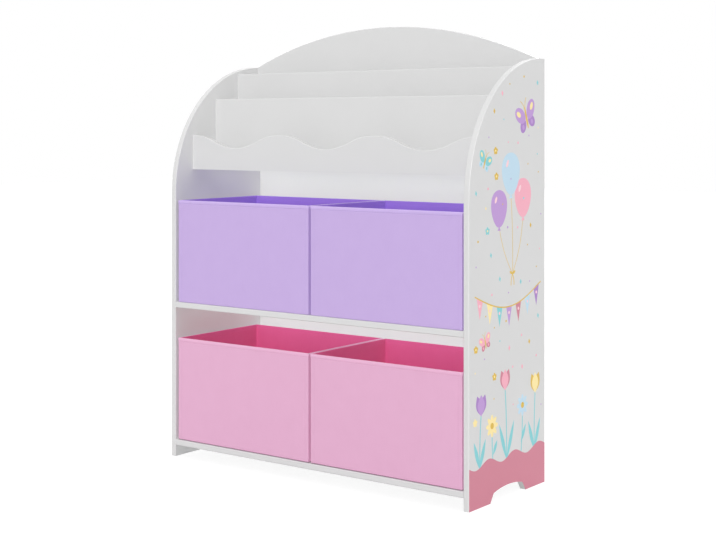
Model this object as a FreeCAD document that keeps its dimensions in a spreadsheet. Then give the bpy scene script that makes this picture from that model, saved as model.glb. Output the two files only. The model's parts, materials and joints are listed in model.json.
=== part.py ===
# A white children's shelf unit: two quarter-round sides carry two shelves with four
# fabric bins and, above them, a stepped rack for picture books under an arched back board.
# Millimetres, +Z up, the front faces -Y, origin on the floor below the middle of the case.
import FreeCAD, Part
import math
import os
import Sketcher

Vector = FreeCAD.Vector
Rotation = FreeCAD.Rotation

# Driving dimensions, in millimetres
SIZES = {
    # case, all of one board stock
    "width": 760,
    "depth": 284,
    "board_thickness": 12,
    "edge_ease": 1,
    # side panels
    "side_over_rack": 18,
    "top_flat": 4,
    # feet, left by a cut-out with sloped ends and a shallow crown
    "foot_length": 76,
    "foot_slope": 12,
    "foot_shoulder": 17.5,
    "foot_crown": 6.5,
    "foot_corner": 6,
    # shelves
    "foot_clearance": 24.4,
    "bay_height": 285.5,
    # book rack
    "book_slot": 62,
    "rear_book_slot": 58,
    "rack_rise": 58,
    "rack_board_height": 154.6,
    "wave_crest_height": 75.5,
    "wave_depth": 28,
    # back
    "arch_rise": 78,
    "back_panel_thickness": 3,
    "back_panel_lap": 15,
    "back_panel_gap": 0.5,
    "rebate_width": 6,
    # dowels
    "dowel_diameter": 6,
    "dowel_length": 24,
    "dowel_in_side": 8,
    # cam bolts and cam locks
    "thread_diameter": 5,
    "thread_length": 8.5,
    "flange_thickness": 1.5,
    "shank_diameter": 4,
    "bolt_head_length": 5,
    "bolt_reach": 24,
    "bolt_bore": 6.6,
    "bolt_gap": 0.3,
    "cam_diameter": 15,
    "cam_cover": 2.4,
    "cam_slot_length": 9,
    "cam_slot_width": 1.6,
    "cam_slot_depth": 1.5,
    # places of the fittings
    "shelf_cam_inset": 46,
    "shelf_dowel_inset": 84,
    "rack_cam_height": 30,
    "rack_dowel_drop": 22,
    "rack_floor_dowel_inset": 14,
    "back_cam_inset": 36,
    # back panel screws
    "screw_diameter": 3,
    "screw_length": 9.5,
    "screw_head_diameter": 6,
    "screw_head_height": 1.8,
    # bins
    "bin_gap": 4.7,
    "bin_setback": 3,
    "bin_rear_gap": 19,
    "bin_headroom": 65.5,
    "fabric_thickness": 0.8,
    "lining_thickness": 0.8,
    "card_thickness": 2,
    "card_margin": 8,
    "binding_thickness": 0.8,
    "binding_width": 12,
    "insert_thickness": 3,
    "insert_gap": 1.6,
    # clearances
    "fit_gap": 0.1,
    "end_gap": 0.5,
    "slide_gap": 0.2,
}

WAVE_COUNT = 3
RACK_TIERS = ("front", "middle", "rear")
SCREW_SPREAD_SHARES = (-0.42, 0, 0.42)
# Fasteners are many and hidden, so they and their holes have few sides
PIN_SIDES = 8
CAM_SIDES = 12
LEFT, RIGHT = -1, 1
SIDE_NAMES = {LEFT: "left", RIGHT: "right"}
TOLERANCE = 1e-4

doc = FreeCAD.newDocument("shelf_unit")
sheet = doc.addObject("Spreadsheet::Sheet", "sizes")
for row, (alias, size) in enumerate(SIZES.items(), 1):
    sheet.set(f"A{row}", alias)
    sheet.set(f"B{row}", str(size))
    sheet.setAlias(f"B{row}", alias)
doc.recompute()

# Places that several pieces share, as expressions on the sheet
INNER_WIDTH = "(sizes.width - 2 * sizes.board_thickness)"
HALF_INNER = "(sizes.width / 2 - sizes.board_thickness)"
FRONT = "(-sizes.depth / 2)"
REAR = "(sizes.depth / 2)"
PANEL_FRONT = "(sizes.depth / 2 - sizes.back_panel_thickness)"
SHELF_DEPTH = "(sizes.depth - sizes.back_panel_thickness)"
TOP_RADIUS = "(sizes.depth - sizes.top_flat)"
BOTTOM_SHELF = "sizes.foot_clearance"
BOTTOM_TOP = f"({BOTTOM_SHELF} + sizes.board_thickness)"
MIDDLE_SHELF = f"({BOTTOM_TOP} + sizes.bay_height)"
MIDDLE_TOP = f"({MIDDLE_SHELF} + sizes.board_thickness)"
RACK_BASE = f"({MIDDLE_TOP} + sizes.bay_height)"
BACK_BOARD_FRONT = f"({REAR} - sizes.board_thickness)"
LAST_TIER = len(RACK_TIERS) - 1


def rack_board_front(tier):
    # Counted forward from the back board: the rear slot, then the slots of the tiers ahead
    steps = f"{LAST_TIER - tier} * (sizes.book_slot + sizes.board_thickness)"
    return f"({BACK_BOARD_FRONT} - sizes.rear_book_slot - sizes.board_thickness - {steps})"


def rack_board_base(tier):
    # Each board behind the first stands flush with the underside of the floor ahead of it
    return f"({RACK_BASE} + {max(tier - 1, 0)} * sizes.rack_rise)"


def rack_floor_base(tier):
    return f"({RACK_BASE} + {tier} * sizes.rack_rise)"


SIDE_HEIGHT = f"({rack_board_base(LAST_TIER)} + sizes.rack_board_height + sizes.side_over_rack)"
BACK_BOARD_BASE = rack_floor_base(LAST_TIER)
PANEL_TOP = f"({BACK_BOARD_BASE} + sizes.back_panel_lap)"
CAM_HEIGHT = "(sizes.board_thickness - sizes.cam_cover)"
BOLT_HEAD = "(sizes.bolt_bore - 2 * sizes.bolt_gap)"
BIN_WIDTH = f"(({INNER_WIDTH} - 3 * sizes.bin_gap) / 2)"
BIN_DEPTH = f"({SHELF_DEPTH} - sizes.bin_setback - sizes.bin_rear_gap)"
BIN_HEIGHT = "(sizes.bay_height - sizes.bin_headroom)"


def value(expression):
    return float(sheet.evalExpression(expression))


def half(expression):
    return f"(({expression}) / 2)"


# Sketch and feature helpers
def arc_between(start, end, radius, turn):
    # A sketch's arcs run counter-clockwise, so one that turns right is drawn from its end
    if turn == "right":
        start, end = end, start
    chord = end - start
    to_left = Vector(-chord.y, chord.x, 0).normalize()
    rise = math.sqrt(radius ** 2 - (chord.Length / 2) ** 2)
    centre = (start + end) / 2 + to_left * rise
    first, last = ((point - centre) for point in (start, end))
    circle = Part.Circle(centre, Vector(0, 0, 1), radius)
    return Part.ArcOfCircle(circle, math.atan2(first.y, first.x), math.atan2(last.y, last.x))


def constrain(sketch, expression, kind, *where):
    number = sketch.addConstraint(Sketcher.Constraint(kind, *where, value(expression)))
    sketch.setExpression(f"Constraints[{number}]", expression)


def draw_outline(sketch, points, arcs=None):
    # A closed outline through points given as expressions; arcs holds, by the number of
    # the point that an arc starts from, its radius and the way it turns
    arcs = arcs or {}
    places = [Vector(value(across), value(up), 0) for across, up in points]
    following = places[1:] + places[:1]
    edges, starts, ends = [], [], []
    for number, (start, end) in enumerate(zip(places, following)):
        radius, turn = arcs.get(number, (None, None))
        straight = radius is None
        curve = Part.LineSegment(start, end) if straight else arc_between(start, end, value(radius), turn)
        edges.append(sketch.addGeometry(curve))
        starts.append(2 if turn == "right" else 1)
        ends.append(1 if turn == "right" else 2)
    for number, (across, up) in enumerate(points):
        before = number - 1
        corner = (edges[number], starts[number])
        sketch.addConstraint(Sketcher.Constraint("Coincident", edges[before], ends[before], *corner))
        for kind, axis, place in (("DistanceX", -2, across), ("DistanceY", -1, up)):
            if place == "0":
                sketch.addConstraint(Sketcher.Constraint("PointOnObject", *corner, axis))
            else:
                constrain(sketch, place, kind, -1, 1, *corner)
    for number, (radius, turn) in arcs.items():
        constrain(sketch, radius, "Radius", edges[number])


def place_at(feature, across, along, up):
    for axis, place in zip("xyz", (across, along, up)):
        feature.setExpression(f"Placement.Base.{axis}", place)


def new_body(label, across, along, up):
    body = doc.addObject("PartDesign::Body", label)
    place_at(body, across, along, up)
    return body


def new_sketch(body, plane, name):
    sketch = body.newObject("Sketcher::SketchObject", f"{body.Name}_{name}")
    support = next(feature for feature in body.Origin.OriginFeatures if feature.Role == plane)
    sketch.AttachmentSupport = [(support, "")]
    sketch.MapMode = "FlatFace"
    return sketch


def pad(body, sketch, length, backwards=False):
    feature = body.newObject("PartDesign::Pad", f"{sketch.Name}_pad")
    feature.Profile = sketch
    feature.setExpression("Length", length)
    feature.Reversed = backwards
    return feature


def pocket_upwards(body, sketch, length):
    # Cuts from the sketch's plane along its normal
    before = body.Tip
    feature = body.newObject("PartDesign::Pocket", f"{sketch.Name}_pocket")
    feature.Profile = sketch
    feature.setExpression("Length", length)
    feature.Reversed = True
    doc.recompute()
    if feature.Shape.Volume >= before.Shape.Volume - TOLERANCE:
        raise RuntimeError(f"{feature.Name} cut nothing")
    return feature


def dress_edges(body, kind, size_name, size, wanted):
    doc.recompute()
    base = body.Tip
    chosen = [f"Edge{number}" for number, edge in enumerate(base.Shape.Edges, 1) if wanted(edge)]
    feature = body.newObject(kind, f"{body.Name}_{size_name}")
    feature.Base = (base, chosen)
    feature.setExpression(size_name, size)


def ease_edges(body, wanted):
    dress_edges(body, "PartDesign::Chamfer", "Size", "sizes.edge_ease", wanted)


def near(first, second):
    return abs(first - second) < TOLERANCE


def is_arc(edge):
    return isinstance(edge.Curve, Part.Circle)


def prism(name, sides, diameter, length, place, direction):
    bar = doc.addObject("Part::Prism", name)
    bar.Polygon = sides
    bar.setExpression("Circumradius", half(diameter))
    bar.setExpression("Height", length)
    bar.Placement.Rotation = Rotation(Vector(0, 0, 1), Vector(*direction))
    place_at(bar, *place)
    return bar


def box(name, length, width, height, place):
    block = doc.addObject("Part::Box", name)
    block.setExpression("Length", length)
    block.setExpression("Width", width)
    block.setExpression("Height", height)
    place_at(block, *place)
    return block


def cut_from(label, blank, tools):
    cutter = doc.addObject("Part::MultiFuse", f"{label}_cuts")
    cutter.Shapes = tools
    finished = doc.addObject("Part::Cut", label)
    finished.Base = blank
    finished.Tool = cutter
    return finished


def group(label, members):
    compound = doc.addObject("Part::Compound", label)
    compound.Links = members
    return compound


nodes = []
side_cuts = {LEFT: [], RIGHT: []}
dowels = []
bolt_places = []
cam_places = []


# End joints: every board meets both sides with dowels and with cam bolts drawn up by cam locks
def across_joint(name, side, in_board, in_side, diameter, along, up):
    # A bar along X through the face where a board's end meets a side panel
    start = f"{HALF_INNER} - ({in_board})" if side == RIGHT else f"-{HALF_INNER} - ({in_side})"
    return prism(name, PIN_SIDES, diameter, f"({in_board}) + ({in_side})", (start, along, up), (1, 0, 0))


def dowel_joint(board, number, along, up):
    cuts = []
    in_board = "sizes.dowel_length - sizes.dowel_in_side"
    for side, side_name in SIDE_NAMES.items():
        name = f"{board}_{side_name}_dowel_{number}"
        dowels.append(across_joint(
            name, side, in_board, "sizes.dowel_in_side", "sizes.dowel_diameter", along, up))
        hole = across_joint(
            f"{name}_hole", side, f"{in_board} + sizes.end_gap", "sizes.dowel_in_side + sizes.end_gap",
            "sizes.dowel_diameter + 2 * sizes.fit_gap", along, up)
        cuts.append(hole)
        side_cuts[side].append(hole)
    return cuts


def cam_joint(board, number, along, up, face, inward):
    # face is where the cam sits in the board's surface, inward points from there into the board
    cuts = []
    for side, side_name in SIDE_NAMES.items():
        name = f"{board}_{side_name}_cam_{number}"
        side_cuts[side].append(across_joint(
            f"{name}_thread_hole", side, "0", "sizes.thread_length + sizes.end_gap",
            "sizes.thread_diameter + 2 * sizes.fit_gap", along, up))
        cuts.append(across_joint(f"{name}_bore", side, "sizes.bolt_reach", "0", "sizes.bolt_bore", along, up))
        cam_across = f"{side} * ({HALF_INNER} - sizes.bolt_reach)"
        cam_along, cam_up = (along, face) if inward == (0, 0, 1) else (face, up)
        cuts.append(prism(
            f"{name}_pocket", CAM_SIDES, "sizes.cam_diameter + 2 * sizes.fit_gap",
            f"{CAM_HEIGHT} + sizes.fit_gap", (cam_across, cam_along, cam_up), inward))
        bolt_places.append((side, along, up))
        cam_places.append((side, inward, cam_across, cam_along, cam_up))
    return cuts


def flat_board_joints(board, front, rear, base, thickness, cam_inset, dowel_inset):
    # A horizontal board has its cams in the underside
    middle = f"{base} + {half(thickness)}"
    cuts = []
    for number, (start, inset) in enumerate(((front, "+"), (rear, "-")), 1):
        cuts += cam_joint(board, number, f"{start} {inset} {cam_inset}", middle, base, (0, 0, 1))
        cuts += dowel_joint(board, number, f"{start} {inset} {dowel_inset}", middle)
    return cuts


def upright_board_joints(board, front, thickness, cam_heights, dowel_heights):
    # An upright board has its cams in the rear face
    middle = f"{front} + {half(thickness)}"
    rear = f"{front} + {thickness}"
    cuts = []
    for number, height in enumerate(cam_heights, 1):
        cuts += cam_joint(board, number, middle, height, rear, (0, -1, 0))
    for number, height in enumerate(dowel_heights, 1):
        cuts += dowel_joint(board, number, middle, height)
    return cuts


# Shelves
def make_shelf(label, base):
    body = new_body(f"{label}_blank", f"-{HALF_INNER}", FRONT, base)
    sketch = new_sketch(body, "XY_Plane", "outline")
    draw_outline(sketch, [("0", "0"), (INNER_WIDTH, "0"), (INNER_WIDTH, SHELF_DEPTH), ("0", SHELF_DEPTH)])
    pad(body, sketch, "sizes.board_thickness")
    ease_edges(body, lambda edge: near(edge.BoundBox.YMax, 0) and near(edge.BoundBox.ZLength, 0))
    cuts = flat_board_joints(label, FRONT, PANEL_FRONT, base, "sizes.board_thickness",
                             "sizes.shelf_cam_inset", "sizes.shelf_dowel_inset")
    cuts += screw_holes(label, f"{base} + {half('sizes.board_thickness')}")
    nodes.append(cut_from(label, body, cuts))


# Book rack
def make_rack_board(tier):
    label = f"{RACK_TIERS[tier]}_rack_board"
    front, base = rack_board_front(tier), rack_board_base(tier)
    body = new_body(f"{label}_blank", f"-{HALF_INNER}", front, base)
    sketch = new_sketch(body, "XZ_Plane", "outline")
    if tier == 0:
        height = "sizes.wave_crest_height"
        draw_wave(sketch)
    else:
        height = "sizes.rack_board_height"
        draw_outline(sketch, [("0", "0"), (INNER_WIDTH, "0"), (INNER_WIDTH, height), ("0", height)])
    pad(body, sketch, "sizes.board_thickness", backwards=True)
    lowest_trough = value(f"{height} - sizes.wave_depth")
    ease_edges(body, lambda edge: near(edge.BoundBox.YLength, 0)
               and edge.BoundBox.ZMin > lowest_trough - TOLERANCE)
    cuts = upright_board_joints(
        label, front, "sizes.board_thickness",
        [f"{base} + sizes.rack_cam_height"], [f"{base} + {height} - sizes.rack_dowel_drop"])
    nodes.append(cut_from(label, body, cuts))


def draw_wave(sketch):
    # The top edge starts and ends on a crest; equal arcs meet where the wave crosses its mid height
    mid_height = "(sizes.wave_crest_height - sizes.wave_depth / 2)"
    quarter = f"({INNER_WIDTH} / {4 * WAVE_COUNT})"
    radius = f"({quarter} ^ 2 + (sizes.wave_depth / 2) ^ 2) / sizes.wave_depth"
    crossings = [(f"{quarter} * {number}", mid_height) for number in range(4 * WAVE_COUNT - 1, 0, -2)]
    points = [("0", "0"), (INNER_WIDTH, "0"), (INNER_WIDTH, "sizes.wave_crest_height")]
    points += crossings + [("0", "sizes.wave_crest_height")]
    arcs = {2 + number: (radius, "right" if number % 2 else "left") for number in range(len(crossings) + 1)}
    draw_outline(sketch, points, arcs)


def make_rack_floor(tier):
    label = f"{RACK_TIERS[tier]}_rack_floor"
    base = rack_floor_base(tier)
    front = f"({rack_board_front(tier)} + sizes.board_thickness)"
    rear = BACK_BOARD_FRONT if tier == LAST_TIER else rack_board_front(tier + 1)
    middle = f"{base} + {half('sizes.board_thickness')}"
    blank = box(f"{label}_blank", INNER_WIDTH, f"{rear} - {front}", "sizes.board_thickness",
                (f"-{HALF_INNER}", front, base))
    cuts = cam_joint(label, 1, half(f"{front} + {rear}"), middle, base, (0, 0, 1))
    cuts += dowel_joint(label, 1, f"{front} + sizes.rack_floor_dowel_inset", middle)
    nodes.append(cut_from(label, blank, cuts))


# Back: an arched board above, a thin panel below that laps into its rebate
def make_back_board():
    label = "arched_back_board"
    straight = f"({SIDE_HEIGHT} - {BACK_BOARD_BASE})"
    radius = f"(({INNER_WIDTH} / 2) ^ 2 + sizes.arch_rise ^ 2) / (2 * sizes.arch_rise)"
    body = new_body(f"{label}_blank", f"-{HALF_INNER}", BACK_BOARD_FRONT, BACK_BOARD_BASE)
    sketch = new_sketch(body, "XZ_Plane", "outline")
    draw_outline(sketch, [("0", "0"), (INNER_WIDTH, "0"), (INNER_WIDTH, straight), ("0", straight)],
                 {2: (radius, "left")})
    pad(body, sketch, "sizes.board_thickness", backwards=True)
    ease_edges(body, is_arc)
    cuts = upright_board_joints(
        label, BACK_BOARD_FRONT, "sizes.board_thickness",
        [f"{BACK_BOARD_BASE} + sizes.back_cam_inset", f"{SIDE_HEIGHT} - sizes.back_cam_inset"],
        [half(f"{BACK_BOARD_BASE} + {SIDE_HEIGHT}")])
    cuts.append(box(f"{label}_rebate", INNER_WIDTH, "sizes.back_panel_thickness", "sizes.back_panel_lap",
                    (f"-{HALF_INNER}", PANEL_FRONT, BACK_BOARD_BASE)))
    cuts += screw_holes(label, f"{BACK_BOARD_BASE} + {half('sizes.back_panel_lap')}")
    nodes.append(cut_from(label, body, cuts))


def make_back_panel():
    label = "back_panel"
    reach = f"({HALF_INNER} + sizes.rebate_width - sizes.back_panel_gap)"
    height = f"{PANEL_TOP} - sizes.back_panel_gap - {BOTTOM_SHELF}"
    blank = box(f"{label}_blank", f"2 * {reach}", "sizes.back_panel_thickness", height,
                (f"-{reach}", PANEL_FRONT, BOTTOM_SHELF))
    cuts = []
    for number, (across, up) in enumerate(screw_places(), 1):
        cuts.append(prism(
            f"screw_clearance_{number}", PIN_SIDES, "sizes.screw_diameter + 2 * sizes.fit_gap",
            "sizes.back_panel_thickness", (across, PANEL_FRONT, up), (0, 1, 0)))
        cuts.append(prism(
            f"screw_sink_{number}", PIN_SIDES, "sizes.screw_head_diameter + 2 * sizes.fit_gap",
            "sizes.screw_head_height", (across, f"{REAR} - sizes.screw_head_height", up), (0, 1, 0)))
    nodes.append(cut_from(label, blank, cuts))


# Back panel screws
def screw_places():
    heights = (f"{BOTTOM_SHELF} + {half('sizes.board_thickness')}",
               f"{MIDDLE_SHELF} + {half('sizes.board_thickness')}",
               f"{BACK_BOARD_BASE} + {half('sizes.back_panel_lap')}")
    return [(f"{share} * {INNER_WIDTH}", height) for height in heights for share in SCREW_SPREAD_SHARES]


def screw_holes(board, up):
    diameter = "sizes.screw_diameter + 2 * sizes.fit_gap"
    depth = "sizes.screw_length - sizes.back_panel_thickness + sizes.end_gap"
    return [prism(f"{board}_screw_hole_{number}", PIN_SIDES, diameter, depth,
                  (f"{share} * {INNER_WIDTH}", PANEL_FRONT, up), (0, -1, 0))
            for number, share in enumerate(SCREW_SPREAD_SHARES, 1)]


def placed_copies(label, pattern, placements):
    doc.recompute()
    feature = doc.addObject("Part::Feature", label)
    solids = [pattern.Shape.transformed(placement.toMatrix(), True) for placement in placements]
    feature.Shape = Part.makeCompound(solids)
    return feature


def stepped_pin(name, steps):
    # A fastener along X from its tip, as steps of a diameter and a length
    start = "0"
    stages = []
    for number, (diameter, length) in enumerate(steps, 1):
        stages.append(prism(f"{name}_{number}", PIN_SIDES, diameter, length, (start, "0", "0"), (1, 0, 0)))
        start = f"{start} + {length}"
    pin = doc.addObject("Part::MultiFuse", name)
    pin.Shapes = stages
    return pin


def make_screws():
    pattern = stepped_pin("screw_pattern", [
        ("sizes.screw_diameter", "sizes.screw_length - sizes.screw_head_height"),
        ("sizes.screw_head_diameter", "sizes.screw_head_height")])
    placements = []
    for across, up in screw_places():
        tip = Vector(value(across), value(f"{REAR} - sizes.screw_length"), value(up))
        placements.append(FreeCAD.Placement(tip, Rotation(Vector(1, 0, 0), Vector(0, 1, 0))))
    nodes.append(placed_copies("back_panel_screws", pattern, placements))


# Cam bolts and cam locks
def make_cam_bolts():
    shank_length = "(sizes.bolt_reach - sizes.flange_thickness - sizes.bolt_head_length / 2)"
    pattern = stepped_pin("cam_bolt_pattern", [
        ("sizes.thread_diameter", "sizes.thread_length"),
        (BOLT_HEAD, "sizes.flange_thickness"),
        ("sizes.shank_diameter", shank_length),
        (BOLT_HEAD, "sizes.bolt_head_length")])
    placements = []
    for side, along, up in bolt_places:
        buried_end = side * value(f"{HALF_INNER} + sizes.thread_length")
        place = Vector(buried_end, value(along), value(up))
        placements.append(FreeCAD.Placement(place, Rotation(Vector(1, 0, 0), Vector(-side, 0, 0))))
    nodes.append(placed_copies("cam_bolts", pattern, placements))


def make_cam_locks():
    # Open face at zero with a crossed slot for the driver, bored towards +X for the bolt's head
    disc = prism("cam_disc", CAM_SIDES, "sizes.cam_diameter", CAM_HEIGHT, ("0", "0", "0"), (0, 0, 1))
    bore_length = "(sizes.cam_diameter / 2 + sizes.bolt_head_length)"
    bore = prism("cam_bore", PIN_SIDES, "sizes.bolt_bore", bore_length,
                 ("-sizes.bolt_head_length", "0", half("sizes.board_thickness")), (1, 0, 0))
    long_half, short_half = half("sizes.cam_slot_length"), half("sizes.cam_slot_width")
    slots = [
        box("cam_slot_along", "sizes.cam_slot_length", "sizes.cam_slot_width", "sizes.cam_slot_depth",
            (f"-{long_half}", f"-{short_half}", "0")),
        box("cam_slot_across", "sizes.cam_slot_width", "sizes.cam_slot_length", "sizes.cam_slot_depth",
            (f"-{short_half}", f"-{long_half}", "0")),
    ]
    pattern = cut_from("cam_lock_pattern", disc, [bore] + slots)
    placements = []
    for side, inward, across, along, up in cam_places:
        place = Vector(value(across), value(along), value(up))
        towards_side, into_board = Vector(side, 0, 0), Vector(*inward)
        turn = Rotation(towards_side, into_board.cross(towards_side), into_board, "ZXY")
        placements.append(FreeCAD.Placement(place, turn))
    nodes.append(placed_copies("cam_locks", pattern, placements))


# Side panels
def make_side_panel(side):
    label = f"{SIDE_NAMES[side]}_side_panel"
    body = new_body(f"{label}_blank", f"{side} * {HALF_INNER}", FRONT, "0")
    slope_end = "(sizes.foot_length + sizes.foot_slope)"
    crown_half = f"(sizes.depth / 2 - {slope_end})"
    crown_radius = f"({crown_half} ^ 2 + sizes.foot_crown ^ 2) / (2 * sizes.foot_crown)"
    points = [
        ("0", "0"),
        ("0", f"{SIDE_HEIGHT} - {TOP_RADIUS}"),
        (TOP_RADIUS, SIDE_HEIGHT),
        ("sizes.depth", SIDE_HEIGHT),
        ("sizes.depth", "0"),
        ("sizes.depth - sizes.foot_length", "0"),
        (f"sizes.depth - {slope_end}", "sizes.foot_shoulder"),
        (slope_end, "sizes.foot_shoulder"),
        ("sizes.foot_length", "0"),
    ]
    sketch = new_sketch(body, "YZ_Plane", "outline")
    draw_outline(sketch, points, {1: (TOP_RADIUS, "right"), 6: (crown_radius, "left")})
    pad(body, sketch, "sizes.board_thickness", backwards=side == LEFT)
    shoulder, top, top_radius = (value(size) for size in ("sizes.foot_shoulder", SIDE_HEIGHT, TOP_RADIUS))
    dress_edges(body, "PartDesign::Fillet", "Radius", "sizes.foot_corner",
                lambda edge: near(edge.BoundBox.ZMin, shoulder) and near(edge.BoundBox.ZMax, shoulder))
    ease_edges(body, lambda edge: near(edge.BoundBox.XLength, 0) and (
        near(edge.BoundBox.YMax, 0) or near(edge.BoundBox.ZMin, top)
        or (is_arc(edge) and near(edge.Curve.Radius, top_radius))))
    rebate_start = HALF_INNER if side == RIGHT else f"-{HALF_INNER} - sizes.rebate_width"
    rebate = box(f"{label}_rebate", "sizes.rebate_width", "sizes.back_panel_thickness",
                 f"{PANEL_TOP} - {BOTTOM_SHELF}", (rebate_start, PANEL_FRONT, BOTTOM_SHELF))
    nodes.append(cut_from(label, body, side_cuts[side] + [rebate]))


# Bins: each layer of the wall is an inset of the bin's outside
COVER_OUTSIDE = "sizes.binding_thickness"
COVER_INSIDE = f"({COVER_OUTSIDE} + sizes.fabric_thickness)"
LINING_OUTSIDE = f"({COVER_INSIDE} + sizes.card_thickness)"
LINING_INSIDE = f"({LINING_OUTSIDE} + sizes.lining_thickness)"
BINDING_INSIDE = f"({LINING_INSIDE} + sizes.binding_thickness)"
WALL_HEIGHT = f"({BIN_HEIGHT} - sizes.binding_thickness)"


def draw_bin_outline(sketch, inset):
    far_across, far_along = f"{BIN_WIDTH} - {inset}", f"{BIN_DEPTH} - {inset}"
    draw_outline(sketch, [(inset, inset), (far_across, inset), (far_across, far_along), (inset, far_along)])


def make_bin(level, side, shelf_top):
    name = f"{level}_{SIDE_NAMES[side]}_bin"
    across = f"({side} * (sizes.bin_gap + {BIN_WIDTH}) / 2 - {BIN_WIDTH} / 2)"
    along = f"({FRONT} + sizes.bin_setback)"
    up = f"({shelf_top} + sizes.slide_gap)"
    nodes.append(make_bin_cover(f"{name}_cover", across, along, up))
    nodes.append(make_bin_lining(f"{name}_lining", across, along, up))
    nodes.append(make_bin_cards(f"{name}_cards", across, along, up))
    nodes.append(make_bin_binding(f"{name}_binding", across, along, up))
    nodes.append(make_bin_insert(f"{name}_insert", across, along, up))


def make_bin_cover(label, across, along, up):
    body = new_body(label, across, along, up)
    outside = new_sketch(body, "XY_Plane", "outside")
    draw_bin_outline(outside, COVER_OUTSIDE)
    pad(body, outside, WALL_HEIGHT)
    inside = new_sketch(body, "XY_Plane", "inside")
    inside.setExpression("AttachmentOffset.Base.z", "sizes.fabric_thickness")
    draw_bin_outline(inside, COVER_INSIDE)
    pocket_upwards(body, inside, WALL_HEIGHT)
    return body


def make_bin_lining(label, across, along, up):
    body = new_body(label, across, along, f"{up} + sizes.fabric_thickness")
    sketch = new_sketch(body, "XY_Plane", "wall")
    draw_bin_outline(sketch, LINING_OUTSIDE)
    draw_bin_outline(sketch, LINING_INSIDE)
    pad(body, sketch, f"{WALL_HEIGHT} - sizes.fabric_thickness")
    return body


def make_bin_cards(label, across, along, up):
    thickness, height = "sizes.card_thickness", f"{WALL_HEIGHT} - sizes.fabric_thickness"
    base = f"{up} + sizes.fabric_thickness"
    cards = []
    for number, (start_across, start_along) in enumerate((
            (COVER_INSIDE, "sizes.card_margin"),
            (f"{BIN_WIDTH} - {LINING_OUTSIDE}", "sizes.card_margin"),
            ("sizes.card_margin", COVER_INSIDE),
            ("sizes.card_margin", f"{BIN_DEPTH} - {LINING_OUTSIDE}")), 1):
        length, width = (thickness, f"{BIN_DEPTH} - 2 * sizes.card_margin")
        if start_across == "sizes.card_margin":
            length, width = (f"{BIN_WIDTH} - 2 * sizes.card_margin", thickness)
        cards.append(box(f"{label}_{number}", length, width, height,
                         (f"{across} + {start_across}", f"{along} + {start_along}", base)))
    return group(label, cards)


def make_bin_binding(label, across, along, up):
    body = new_body(label, across, along, f"{up} + {BIN_HEIGHT} - sizes.binding_width")
    band = new_sketch(body, "XY_Plane", "band")
    draw_bin_outline(band, "0")
    draw_bin_outline(band, BINDING_INSIDE)
    pad(body, band, "sizes.binding_width")
    groove = new_sketch(body, "XY_Plane", "groove")
    draw_bin_outline(groove, COVER_OUTSIDE)
    draw_bin_outline(groove, LINING_INSIDE)
    pocket_upwards(body, groove, "sizes.binding_width - sizes.binding_thickness")
    return body


def make_bin_insert(label, across, along, up):
    body = new_body(label, across, along, f"{up} + sizes.fabric_thickness + sizes.slide_gap")
    sketch = new_sketch(body, "XY_Plane", "outline")
    draw_bin_outline(sketch, f"({LINING_INSIDE} + sizes.insert_gap)")
    pad(body, sketch, "sizes.insert_thickness")
    return body


# Assembly
make_shelf("bottom_shelf", BOTTOM_SHELF)
make_shelf("middle_shelf", MIDDLE_SHELF)
for rack_tier in range(len(RACK_TIERS)):
    make_rack_board(rack_tier)
    make_rack_floor(rack_tier)
make_back_board()
make_back_panel()
for panel_side in (LEFT, RIGHT):
    make_side_panel(panel_side)
nodes.append(group("wood_dowels", dowels))
make_cam_bolts()
make_cam_locks()
make_screws()
for bin_side in (LEFT, RIGHT):
    make_bin("upper", bin_side, MIDDLE_TOP)
    make_bin("lower", bin_side, BOTTOM_TOP)
doc.recompute()

# Every object is checked before a file is written
for item in doc.Objects:
    if "Invalid" in item.State or "Error" in item.State:
        raise RuntimeError(f"{item.Label} failed: {item.State}")
for node in nodes:
    if node.Shape.isNull() or not node.Shape.isValid():
        raise RuntimeError(f"{node.Label} has no valid shape")
os.makedirs("parts", exist_ok=True)
for node in nodes:
    node.Shape.exportStep(f"parts/{node.Label}.step")
print(f"{len(nodes)} nodes, {sum(len(node.Shape.Solids) for node in nodes)} solids")
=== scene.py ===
# The looks of a children's shelf unit with fabric bins, in metres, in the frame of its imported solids
import json
import math
import random
from collections import namedtuple

import bmesh
import bpy
from mathutils import Matrix, Vector, noise


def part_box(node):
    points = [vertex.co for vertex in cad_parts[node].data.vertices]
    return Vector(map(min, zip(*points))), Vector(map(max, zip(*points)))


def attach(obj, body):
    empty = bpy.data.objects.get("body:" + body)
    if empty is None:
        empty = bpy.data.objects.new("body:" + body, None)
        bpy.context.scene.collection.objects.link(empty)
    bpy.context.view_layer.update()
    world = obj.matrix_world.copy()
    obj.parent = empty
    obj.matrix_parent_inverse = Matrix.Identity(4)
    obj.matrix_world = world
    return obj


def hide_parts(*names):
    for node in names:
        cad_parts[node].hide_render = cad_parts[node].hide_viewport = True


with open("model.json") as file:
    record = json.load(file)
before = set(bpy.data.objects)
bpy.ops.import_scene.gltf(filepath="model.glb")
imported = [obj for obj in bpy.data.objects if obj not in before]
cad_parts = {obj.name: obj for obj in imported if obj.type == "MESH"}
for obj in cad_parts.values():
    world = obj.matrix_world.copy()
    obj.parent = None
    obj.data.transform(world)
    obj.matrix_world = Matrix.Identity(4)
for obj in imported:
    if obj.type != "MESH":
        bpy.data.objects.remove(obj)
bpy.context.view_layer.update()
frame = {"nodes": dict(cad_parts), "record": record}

MM = 0.001
FULL_TURN = 2 * math.pi
QUARTER_TURN = math.pi / 2


def srgb(red, green, blue):
    """The linear colour of an 8-bit screen colour."""
    def linear(level):
        share = level / 255
        return share / 12.92 if share <= 0.04045 else ((share + 0.055) / 1.055) ** 2.4
    return (linear(red), linear(green), linear(blue), 1.0)


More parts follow.
